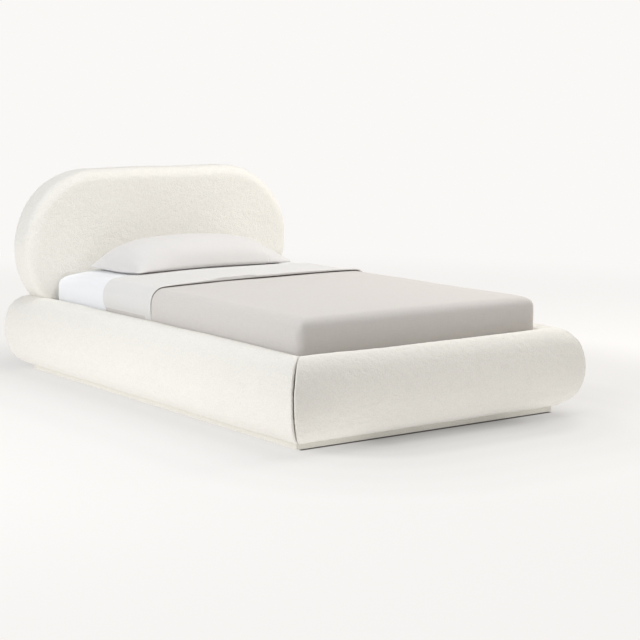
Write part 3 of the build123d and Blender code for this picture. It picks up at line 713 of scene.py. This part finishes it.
def makeRail(side, seed):
    d = railDesign
    distance, inner, turn = railSides[side]
    rail = railBar(side + "RailCover", inner + 4 * d["bulge"])
    ends = {}
    for end in (-1, 1):
        way = sideways(turn, Vector((d["bulge"], end, 0)))
        shift = 0.0
        if (way.y < 0) and (side in ("left", "right")):
            shift = -d["footShift"]
        elif side == "foot":
            shift = d["footShift"]
        ends[end] = (d["mitrePull"] + shift, "rear" if way.y > 0 else "near" if way.x < 0 else "far")
    openUp(rail)
    for end in ends:
        bpy.ops.mesh.select_all(action="SELECT")
        bpy.ops.mesh.bisect(plane_co=(0, end * (inner / 2 - ends[end][0] * math.sqrt(2)), 0), plane_no=(-1, end, 0),
                            use_fill=True, clear_outer=True)
    remesh(rail, d["voxel"])
    finishWith(rail, "SMOOTH", factor=0.5, iterations=d["softenTurns"])
    height = d["top"] - d["base"]

    def gapTo(place, end):
        return (inner / 2 + place.x - end * place.y) / math.sqrt(2) - ends[end][0]

    softEnds = rail.vertex_groups.new(name="softEnds")
    for vertex in rail.data.vertices:
        place = vertex.co
        end = 1 if place.y > 0 else -1
        level = (place.z - d["base"]) / height
        share = {"rear": d["rearShare"], "far": 1.0,
                 "near": blendStep(level, 0.0, 0.25) * blendStep(level, 1.0, 0.80)}[ends[end][1]]
        share *= blendStep(place.x, *d["endOuter"]) * (1 - blendStep(gapTo(place, end), *d["endReach"]))
        softEnds.add([vertex.index], share, "REPLACE")
    finishWith(rail, "SMOOTH", factor=0.5, iterations=d["endTurns"], vertex_group="softEnds")
    for vertex in rail.data.vertices:
        place = vertex.co
        end = 1 if place.y > 0 else -1
        gap = gapTo(place, end)
        level = (place.z - d["base"]) / height
        own = d["innerDrop"] if side in ("foot", "head") else d["sideDrop"]
        common = (d["innerDrop"] + d["sideDrop"]) / 2
        drop = common + (own - common) * blendStep(gap, 0.0, 0.25)
        place.z -= drop * blendStep(level, 0.5, 1.0) * (1 - blendStep(place.x, 0.0, d["dropWidth"]))
        if ends[end][1] == "near":
            nudge = d["cornerNudge"] * (1 - blendStep(gap, 0.0, 0.5)) * blendStep(place.x, 0.0, 0.08)
            place.x += nudge if side == "foot" else -nudge
            place.y += nudge
        if gap < 0.03:
            share = blendStep(level, 0.10, 0.35) * blendStep(level, 0.95, 0.72) * blendStep(place.x, 0.03, 0.09)
            move = d["slitPull"] * share * (1 - blendStep(gap, 0.0, 0.03)) / math.sqrt(2)
            place.x += move
            place.y -= end * move
    rail.data.update()
    setRound(rail, distance, turn)
    roughen(rail, d["softDepth"], d["softSize"], seed)
    roughen(rail, d["nubDepth"], d["nubSize"], seed + 1)
    smoothShade(rail)
    dress(rail, "boucle", "bed_frame", side + "_rail_cover", side + "_rail_foam")
    return rail


for count, side in enumerate(railSides):
    makeRail(side, 3 * count + 1)
print("rails padded")


# Plinth: four straight fabric covered strips, mitred, with softened edges
plinthDesign = {"edgeRound": 0.003, "gap": 0.0004, "cuts": 60}


def makePlinth(side):
    low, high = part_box(side + "_plinth_cover")
    distance, inner, turn = railSides[side]
    if side in ("left", "right"):
        outer = max(abs(low.x), abs(high.x)) - distance
        thickness = high.x - low.x
    else:
        outer = max(abs(low.y), abs(high.y)) - distance
        thickness = high.y - low.y
    strip = boxPiece(side + "PlinthCover", (outer - thickness, -inner, low.z), (outer, inner, high.z))
    openUp(strip)
    pull = plinthDesign["gap"] * math.sqrt(2)
    for end in (-1, 1):
        bpy.ops.mesh.select_all(action="SELECT")
        bpy.ops.mesh.bisect(plane_co=(0, end * (inner / 2 - pull), 0), plane_no=(-1, end, 0),
                            use_fill=True, clear_outer=True)
    pick(strip, "edges", lambda e: True)
    bpy.ops.mesh.bevel(offset=plinthDesign["edgeRound"], segments=3, affect="EDGES")
    pick(strip, "edges", lambda e: abs(e.verts[0].co.y - e.verts[1].co.y) > inner / 2)
    bpy.ops.mesh.subdivide(number_cuts=plinthDesign["cuts"])
    bpy.ops.object.mode_set(mode="OBJECT")
    setRound(strip, distance, turn)
    smoothShade(strip)
    return dress(strip, "plinth_fabric", "bed_frame", side + "_plinth_cover")


for side in railSides:
    makePlinth(side)
print("plinth wrapped")


# Headboard: a stadium outline drawn out and rounded, its tongue, and seats cut for the rails
boardLow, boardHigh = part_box("headboard_cover")
boardDesign = {
    "front": boardLow.y,
    "back": boardHigh.y,
    "halfWidth": boardHigh.x,
    "top": boardHigh.z,
    "halfHeight": 0.372,
    "frontRound": 0.055,
    "rearRound": 0.045,
    "seatDip": 0.014,
    "seatGap": 0.0012,
    "tongueHalf": 0.5985,
    "tongueBack": railDesign["halfRing"] - 0.0012,
    "tongueBase": boardLow.z,
    "voxel": 0.006,
    "softenTurns": 6,
    "softDepth": 0.004,
    "softSize": 0.26,
}


def makeHeadboard():
    d = boardDesign
    centreZ = d["top"] - d["halfHeight"]
    half = d["halfWidth"] - d["halfHeight"]
    putDown()
    bpy.ops.mesh.primitive_circle_add(vertices=96, radius=d["halfHeight"], fill_type="NGON",
                                      location=(0, 0, centreZ), rotation=(math.pi / 2, 0, 0))
    pill = named("headboardCover")
    bpy.ops.object.transform_apply(location=True, rotation=True)
    openUp(pill)
    pick(pill, "verts", lambda v: v.co.x > 0.001)
    bpy.ops.transform.translate(value=(half, 0, 0))
    pick(pill, "verts", lambda v: v.co.x < -0.001)
    bpy.ops.transform.translate(value=(-half, 0, 0))
    bpy.ops.mesh.select_all(action="SELECT")
    bpy.ops.transform.translate(value=(0, d["front"], 0))
    bpy.ops.mesh.extrude_region_move(TRANSFORM_OT_translate={"value": (0, d["back"] - d["front"], 0)})
    bpy.ops.mesh.select_all(action="SELECT")
    bpy.ops.mesh.normals_make_consistent(inside=False)
    for place, radius in ((d["front"], d["frontRound"]), (d["back"], d["rearRound"])):
        pick(pill, "edges", lambda e: all(abs(v.co.y - place) < 0.001 for v in e.verts))
        bpy.ops.mesh.bevel(offset=radius, segments=10, affect="EDGES", clamp_overlap=False)
    bpy.ops.object.mode_set(mode="OBJECT")
    cutter = boxPiece("seatCutter", (-1, d["front"] - 0.1, 0), (1, d["back"] + 0.1, railDesign["top"] - d["seatDip"]))
    finishWith(pill, "BOOLEAN", operation="DIFFERENCE", object=cutter, solver="EXACT")
    throwAway(cutter)
    for side in ("head", "left", "right"):
        distance, inner, turn = railSides[side]
        bar = railBar("seatBar", inner + 0.4, d["seatGap"])
        setRound(bar, distance, turn)
        finishWith(pill, "BOOLEAN", operation="DIFFERENCE", object=bar, solver="EXACT")
        throwAway(bar)
    tongue = boxPiece("tongue", (-d["tongueHalf"], d["front"] + 0.0005, d["tongueBase"]),
                      (d["tongueHalf"], d["tongueBack"], railDesign["top"] + 0.05))
    finishWith(pill, "BOOLEAN", operation="UNION", object=tongue, solver="EXACT")
    throwAway(tongue)
    remesh(pill, d["voxel"])
    finishWith(pill, "SMOOTH", factor=0.5, iterations=d["softenTurns"])

    def upperOnly(place):
        return blendStep(place.z, railDesign["top"], railDesign["top"] + 0.06)

    roughen(pill, d["softDepth"], d["softSize"], 21, upperOnly)
    roughen(pill, railDesign["nubDepth"], railDesign["nubSize"], 22, upperOnly)
    smoothShade(pill)
    dress(pill, "boucle", "bed_frame", "headboard_cover", "headboard_foam")
    return pill


makeHeadboard()
print("headboard padded")


# Mattress form: crowned top, round shoulders. The mattress and each layer of bedding follow it
tickLow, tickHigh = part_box("mattress_ticking")
bedDesign = {
    "halfWidth": tickHigh.x,
    "front": tickLow.y,
    "rear": tickHigh.y,
    "base": tickLow.z,
    "top": tickHigh.z,
    "crown": 0.008,
    "shoulderRound": 0.060,
    "endRound": 0.036,
    "cornerRound": 0.036,
    "rearCornerRound": 0.008,
    "bareDrop": 0.016,
    "voxel": 0.011,
    "waveDepth": 0.0025,
    "waveSize": 0.28,
    "foldLine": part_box("flat_sheet")[1].y,
    "hemLine": 0.088,
    "hemWidth": 0.050,
    "hemSkew": 0.060,
    "hemLift": 0.0040,
    "hemRoll": 0.0125,
    "rollFrom": (-0.56, -0.20),
    "rollTo": (0.60, 0.15),
    "hemLiftReach": 0.100,
    "wellPinch": 0.30,
    "foldOnTop": 0.040,
    "foldOnSide": -0.018,
    "foldTuck": 0.030,
}


def makeForm():
    d = bedDesign
    edgeTop = d["top"] - d["crown"]
    width, front, rear = d["halfWidth"], d["front"], d["rear"]
    form = boxPiece("beddingForm", (-width, front - 0.1, d["base"]), (width, rear + 0.1, edgeTop))
    openUp(form)
    pick(form, "edges", lambda e: all(v.co.z > edgeTop - 0.01 for v in e.verts) and e.verts[0].co.x == e.verts[1].co.x)
    bpy.ops.mesh.bevel(offset=d["shoulderRound"], segments=12, affect="EDGES")
    bpy.ops.object.mode_set(mode="OBJECT")
    endways = boxPiece("endForm", (-width - 0.1, front, d["base"] - 0.1), (width + 0.1, rear, edgeTop + 0.0003))
    openUp(endways)
    pick(endways, "edges", lambda e: all(v.co.z > edgeTop for v in e.verts) and e.verts[0].co.y == e.verts[1].co.y)
    bpy.ops.mesh.bevel(offset=d["endRound"], segments=8, affect="EDGES")
    bpy.ops.object.mode_set(mode="OBJECT")
    outline = boxPiece("outlineForm", (-width - 0.0002, front - 0.0002, d["base"] - 0.1),
                       (width + 0.0002, rear + 0.0002, edgeTop + 0.1))
    openUp(outline)
    for low, radius in ((True, d["cornerRound"]), (False, d["rearCornerRound"])):
        pick(outline, "edges", lambda e: abs(e.verts[0].co.z - e.verts[1].co.z) > 0.1 and (e.verts[0].co.y < 0) == low)
        bpy.ops.mesh.bevel(offset=radius, segments=8, affect="EDGES")
    bpy.ops.object.mode_set(mode="OBJECT")
    for other in (endways, outline):
        finishWith(form, "BOOLEAN", operation="INTERSECT", object=other, solver="EXACT")
        throwAway(other)
    remesh(form, d["voxel"])
    finishWith(form, "SMOOTH", factor=0.5, iterations=3)
    for vertex in form.data.vertices:
        place = vertex.co
        across = 1 - (place.x / d["halfWidth"]) ** 2
        nearEnd = min(place.y - d["front"], d["rear"] - place.y)
        lengthways = blendStep(nearEnd, -0.02, 0.10) * 0.9 + 0.1
        lift = blendStep(place.z, d["base"] + 0.05, edgeTop)
        place.z += d["crown"] * max(0.0, across) * lengthways * lift
        wave = noise.noise(Vector((place.x, place.y * 0.7, 4.1)) / d["waveSize"])
        place.z += d["waveDepth"] * wave * lift * blendStep(nearEnd, 0.0, 0.12)
        bare = blendStep(place.y, d["foldLine"], d["rear"] - 0.05)
        place.z -= d["bareDrop"] * bare * lift * (1 - blendStep(d["halfWidth"] - abs(place.x), 0.02, 0.22))
    form.data.update()
    return form


form = makeForm()


def layerFrom(name, offset, low, high, base):
    layer = copyOf(form, name)
    openUp(layer)
    bpy.ops.mesh.select_all(action="SELECT")
    bpy.ops.transform.shrink_fatten(value=offset)
    for place, normal in (((0, low, 0), (0, -1, 0)), ((0, high, 0), (0, 1, 0)), ((0, 0, base), (0, 0, -1))):
        bpy.ops.mesh.select_all(action="SELECT")
        bpy.ops.mesh.bisect(plane_co=place, plane_no=normal, use_fill=False, clear_outer=True)
    bpy.ops.object.mode_set(mode="OBJECT")
    return layer


# The bedding wasn't laid quite square, so its hem and its fold slant across the bed
def layAskew(piece):
    d = bedDesign
    for vertex in piece.data.vertices:
        place = vertex.co
        back = max(0.0, min(1.0, (place.y - d["hemLine"]) / (d["foldLine"] - d["hemLine"])))
        onTop = blendStep(d["halfWidth"] - abs(place.x), 0.0, 0.20)
        hemShift = d["hemSkew"] * place.x * blendStep(place.y, d["front"] + 0.15, d["hemLine"])
        foldShift = d["foldOnSide"] + (d["foldOnTop"] - d["foldOnSide"]) * onTop
        foldShift -= d["foldTuck"] * (1 - blendStep(place.z, railDesign["top"] - 0.03, railDesign["top"] + 0.035))
        place.y += hemShift * (1 - back) + foldShift * back
    piece.data.update()


# The hem stands off the coverlet a little on top of the bed, and is pinched where it goes into the well
def liftHem(piece, roll=0.0):
    d = bedDesign
    edgeTop = d["top"] - d["crown"]
    normals = [vertex.normal.copy() for vertex in piece.data.vertices]
    for vertex, normal in zip(piece.data.vertices, normals):
        place = vertex.co
        near = 1 - blendStep(place.y - d["hemLine"], 0.0, d["hemLiftReach"])
        share = 0.2 * blendStep(place.z, railDesign["top"], railDesign["top"] + 0.04)
        share += 0.8 * blendStep(place.z, edgeTop - 0.05, edgeTop)
        wave = 1 + 0.35 * noise.noise(Vector((place.x / 0.16, 7.7, 0)))
        full = blendStep(place.x, *d["rollFrom"]) * (0.35 + 0.65 * blendStep(place.x, *d["rollTo"]))
        rolled = roll * full * (1 - blendStep(place.y - d["hemLine"], 0.006, d["hemWidth"]))
        place += normal * (d["hemLift"] * near * wave + rolled) * share
        pinch = d["wellPinch"] * blendStep(place.z, railDesign["top"] + 0.03, railDesign["top"])
        beyondSide = abs(place.x) - d["halfWidth"]
        if beyondSide > 0:
            place.x -= math.copysign(beyondSide * pinch, place.x)
    piece.data.update()


def mapCloth(piece):
    openUp(piece)
    bpy.ops.mesh.select_all(action="SELECT")
    bpy.ops.uv.cube_project(cube_size=1.0, scale_to_bounds=False, correct_aspect=False)
    bpy.ops.object.mode_set(mode="OBJECT")


def sheetArea(piece):
    return sum(face.area for face in piece.data.polygons)


takeUp(form)
mattress = copyOf(form, "mattressTicking")
smoothShade(mattress)
mapCloth(mattress)
dress(mattress, "ticking", "mattress", "mattress_ticking", "mattress_core")
print("mattress made")

beyond = 0.2
rearEdge = bedDesign["rear"] + beyond
frontEdge = bedDesign["front"] - beyond


def makeFittedSheet():
    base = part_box("fitted_sheet")[0].z
    layer = layerFrom("fittedSheet", 0.0008, frontEdge, rearEdge, base)
    area = sheetArea(layer)
    finishWith(layer, "SOLIDIFY", thickness=0.0010, offset=0.0)
    smoothShade(layer)
    mapCloth(layer)
    dress(layer, "white_cotton", "mattress", "fitted_sheet")
    print("fitted sheet", round(area, 2))
    return layer


fittedSheet = makeFittedSheet()


def makeFlatSheet():
    d = bedDesign
    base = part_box("flat_sheet")[0].z
    turnLine = d["foldLine"] - 0.004
    under = layerFrom("flatSheet", 0.0021, frontEdge, turnLine, base)
    band = layerFrom("turnedBand", 0.0075, d["hemLine"], turnLine, base)
    hem = layerFrom("rolledHem", 0.0092, d["hemLine"], d["hemLine"] + d["hemWidth"], base)
    liftHem(band)
    liftHem(hem, d["hemRoll"])
    sheetPiece = joinAll([under, band, hem], "flatSheet")
    openUp(sheetPiece)
    pick(sheetPiece, "edges", lambda e: e.is_boundary and all(abs(v.co.y - turnLine) < 0.0004 for v in e.verts))
    bpy.ops.mesh.bridge_edge_loops(number_cuts=4, interpolation="SURFACE", smoothness=1.4)
    pick(sheetPiece, "edges", lambda e: e.is_boundary and all(abs(v.co.y - d["hemLine"]) < 0.0004 for v in e.verts))
    bpy.ops.mesh.bridge_edge_loops(number_cuts=4, interpolation="SURFACE", smoothness=1.2)
    bpy.ops.mesh.select_all(action="SELECT")
    bpy.ops.mesh.normals_make_consistent(inside=False)
    bpy.ops.object.mode_set(mode="OBJECT")
    layAskew(sheetPiece)
    area = sheetArea(sheetPiece)
    finishWith(sheetPiece, "SOLIDIFY", thickness=0.0010, offset=0.0)
    smoothShade(sheetPiece)
    mapCloth(sheetPiece)
    dress(sheetPiece, "grey_cotton", "bedding", "flat_sheet")
    print("flat sheet", round(area, 2))
    return sheetPiece


def makeCoverlet():
    d = bedDesign
    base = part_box("coverlet")[0].z
    layer = layerFrom("coverletCloth", 0.0044, frontEdge, d["foldLine"] - 0.006, base)
    layAskew(layer)
    area = sheetArea(layer)
    finishWith(layer, "SOLIDIFY", thickness=0.0028, offset=0.0)
    smoothShade(layer)
    mapCloth(layer)
    dress(layer, "greige_linen", "bedding", "coverlet")
    print("coverlet", round(area, 2))
    return layer


flatSheet = makeFlatSheet()
coverlet = makeCoverlet()
throwAway(form)
print("bedding laid")


# Pillow: an envelope with a cuff, drawn as a flat grid, plumped, blown up a little as cloth and laid down
pillowDesign = {
    "centre": (-0.030, 0.7145),
    "turn": 2.0,
    "halfLength": 0.415,
    "halfDepth": 0.205,
    "cuffEnd": 0.480,
    "cuffSeam": 0.349,
    "seamHeight": 0.0125,
    "seamLift": 0.014,
    "rise": 0.136,
    "endPull": 0.012,
    "sidePull": 0.010,
    "cornerPull": 0.026,
    "grid": 0.009,
    "riseShares": [(-1.0, 0.0), (-0.985, 0.26), (-0.94, 0.46), (-0.88, 0.61), (-0.80, 0.73), (-0.62, 0.88),
                   (-0.40, 0.965), (0.0, 1.0), (0.25, 0.97), (0.50, 0.93), (0.70, 0.85), (0.80, 0.76),
                   (0.83, 0.72), (0.85, 0.68), (1.0, 0.46), (1.10, 0.27), (1.157, 0.085)],
    "endFlare": 0.45,
    "depthShares": [(-1.0, 0.965), (-0.96, 0.99), (-0.80, 0.985), (0.0, 0.965), (0.78, 0.985), (0.92, 0.975),
                    (1.157, 0.965)],
    "creaseDepth": 0.0035,
    "puckerDepth": 0.0022,
    "grooveDepth": 0.0028,
    "pressure": 3.0,
    "frames": 20,
    "mostMove": 0.006,
    "mouthWall": 0.0022,
    "mouthDepth": 0.060,
}


def shareAt(table, place):
    for (start, low), (end, high) in zip(table, table[1:]):
        if place <= end:
            return low + (high - low) * max(0.0, (place - start) / (end - start))
    return table[-1][1]


def pillowEnvelope():
    d = pillowDesign
    wide = d["halfLength"] + d["cuffEnd"]
    deep = 2 * d["halfDepth"]
    putDown()
    bpy.ops.mesh.primitive_grid_add(x_subdivisions=round(wide / d["grid"]), y_subdivisions=round(deep / d["grid"]),
                                    size=1, location=((d["cuffEnd"] - d["halfLength"]) / 2, 0, 0))
    pillow = named("pillow")
    pillow.scale = (wide, deep, 1)
    bpy.ops.object.transform_apply(location=True, rotation=True, scale=True)
    openUp(pillow)
    for shift in (-0.0035, 0.0, 0.0035):
        bpy.ops.mesh.select_all(action="SELECT")
        bpy.ops.mesh.bisect(plane_co=(d["cuffSeam"] + shift, 0, 0), plane_no=(1, 0, 0))
    bpy.ops.mesh.select_all(action="SELECT")
    bpy.ops.mesh.extrude_region_move(TRANSFORM_OT_translate={"value": (0, 0, 1)})
    bpy.ops.mesh.select_all(action="SELECT")
    bpy.ops.mesh.normals_make_consistent(inside=False)
    bpy.ops.object.mode_set(mode="OBJECT")
    return pillow


def plump(pillow):
    d = pillowDesign
    for vertex in pillow.data.vertices:
        place = vertex.co
        upper = place.z > 0.5
        along = place.x / d["halfLength"]
        across = place.y / d["halfDepth"]
        rise = shareAt(d["riseShares"], along)
        flare = d["endFlare"] * (blendStep(-along, 0.30, 0.95) + 0.6 * blendStep(along, 0.75, 1.1))
        bow = max(0.0, 1 - abs(across) ** 2.5) ** (0.53 + flare)
        edge = 0.0015 + 0.0025 * blendStep(along, 0.9, 1.2)
        height = d["rise"] * rise * bow
        sag = d["seamHeight"] * min(1.0, 2.2 * rise * bow)
        pulled = shareAt(d["depthShares"], along) - d["sidePull"] / d["halfDepth"] * blendStep(1 - abs(along), 0, 0.7)
        leftEnd = blendStep(-along, 0.75, 1.0)
        place.x += d["endPull"] * leftEnd * (1 - across ** 2)
        place.x += d["cornerPull"] * leftEnd * blendStep(-across, 0.1, 1.0)
        place.y *= pulled
        lift = d["seamLift"] * blendStep(abs(across), 0.6, 1.0) * max(0.0, 1 - (along - 0.05) ** 2)
        place.z = lift + (edge + height if upper else -edge - sag)
        if upper:
            crease = noise.noise(Vector((place.x / 0.34, place.y / 0.09, place.z / 0.035)))
            side = blendStep(abs(across), 0.45, 0.85) * (1 - blendStep(abs(across), 0.96, 1.0))
            place.z += d["creaseDepth"] * crease * (0.25 + side) * min(1.0, 2 * rise)
            pucker = noise.noise(Vector((place.x / 0.028, math.copysign(3.3, across), 1.7)))
            place.z += d["puckerDepth"] * pucker * blendStep(abs(across), 0.70, 0.93) * min(1.0, bow * 3)
    pillow.data.update()


def blowUp(pillow):
    d = pillowDesign
    filled = pillow.vertex_groups.new(name="filled")
    for vertex in pillow.data.vertices:
        filled.add([vertex.index], 1 - blendStep(vertex.co.x, d["cuffSeam"] - 0.02, d["cuffSeam"] + 0.04), "REPLACE")
    start = [vertex.co.copy() for vertex in pillow.data.vertices]
    cloth = pillow.modifiers.new("Cloth", "CLOTH")
    cloth.settings.effector_weights.gravity = 0
    cloth.settings.use_pressure = True
    cloth.settings.uniform_pressure_force = d["pressure"]
    cloth.settings.vertex_group_pressure = "filled"
    cloth.settings.tension_stiffness = 30
    cloth.settings.compression_stiffness = 30
    cloth.settings.shear_stiffness = 15
    cloth.settings.bending_stiffness = 1.0
    cloth.settings.mass = 0.3
    cloth.settings.quality = 5
    for step in range(1, d["frames"] + 1):
        bpy.context.scene.frame_set(step)
    takeUp(pillow)
    bpy.ops.object.modifier_apply(modifier="Cloth")
    bpy.context.scene.frame_set(1)
    for vertex, first in zip(pillow.data.vertices, start):
        fromEdge = min(first.x + d["halfLength"], d["cuffEnd"] - first.x, d["halfDepth"] - abs(first.y))
        most = d["mostMove"] * blendStep(fromEdge, 0.005, 0.09)
        move = vertex.co - first
        vertex.co = first + move * min(1.0, most / max(move.length, 0.0001))
    pillow.data.update()


def sewCuff(pillow):
    d = pillowDesign
    for vertex in pillow.data.vertices:
        place = vertex.co
        if abs(place.x - d["cuffSeam"]) < 0.0025:
            place -= vertex.normal * d["grooveDepth"]
    openUp(pillow)
    end = max(vertex.co.x for vertex in pillow.data.vertices)
    pick(pillow, "faces", lambda f: abs(f.normal.x) > 0.8 and f.calc_center_median().x > end - 0.012)
    bpy.ops.mesh.inset(thickness=d["mouthWall"], use_boundary=True)
    bpy.ops.mesh.extrude_region_move(TRANSFORM_OT_translate={"value": (-d["mouthDepth"], 0, 0)})
    bpy.ops.object.mode_set(mode="OBJECT")


def makePillow():
    d = pillowDesign
    pillow = pillowEnvelope()
    plump(pillow)
    blowUp(pillow)
    finishWith(pillow, "SMOOTH", factor=0.5, iterations=2)
    sewCuff(pillow)
    finishWith(pillow, "SUBSURF", levels=1, render_levels=1)
    beds = [BVHTree.FromObject(piece, bpy.context.evaluated_depsgraph_get()) for piece in (fittedSheet, flatSheet)]
    turn = Matrix.Rotation(math.radians(d["turn"]), 4, "Z")
    restZ = bedDesign["top"] + 0.0015 + d["seamHeight"]
    pillow.data.transform(Matrix.Translation((*d["centre"], restZ)) @ turn)
    for vertex in pillow.data.vertices:
        place = vertex.co
        if place.z > restZ + 0.01:
            continue
        tops = [bed.ray_cast(Vector((place.x, place.y, 0.7)), Vector((0, 0, -1)))[0] for bed in beds]
        floor = max(top.z for top in tops if top) + 0.0006
        if place.z < floor:
            place.z = floor
    smoothShade(pillow)
    mapCloth(pillow)
    dress(pillow, "pillow_cotton", "pillow", "pillowcase", "pillow_insert")
    return pillow


makePillow()
print("pillow laid")
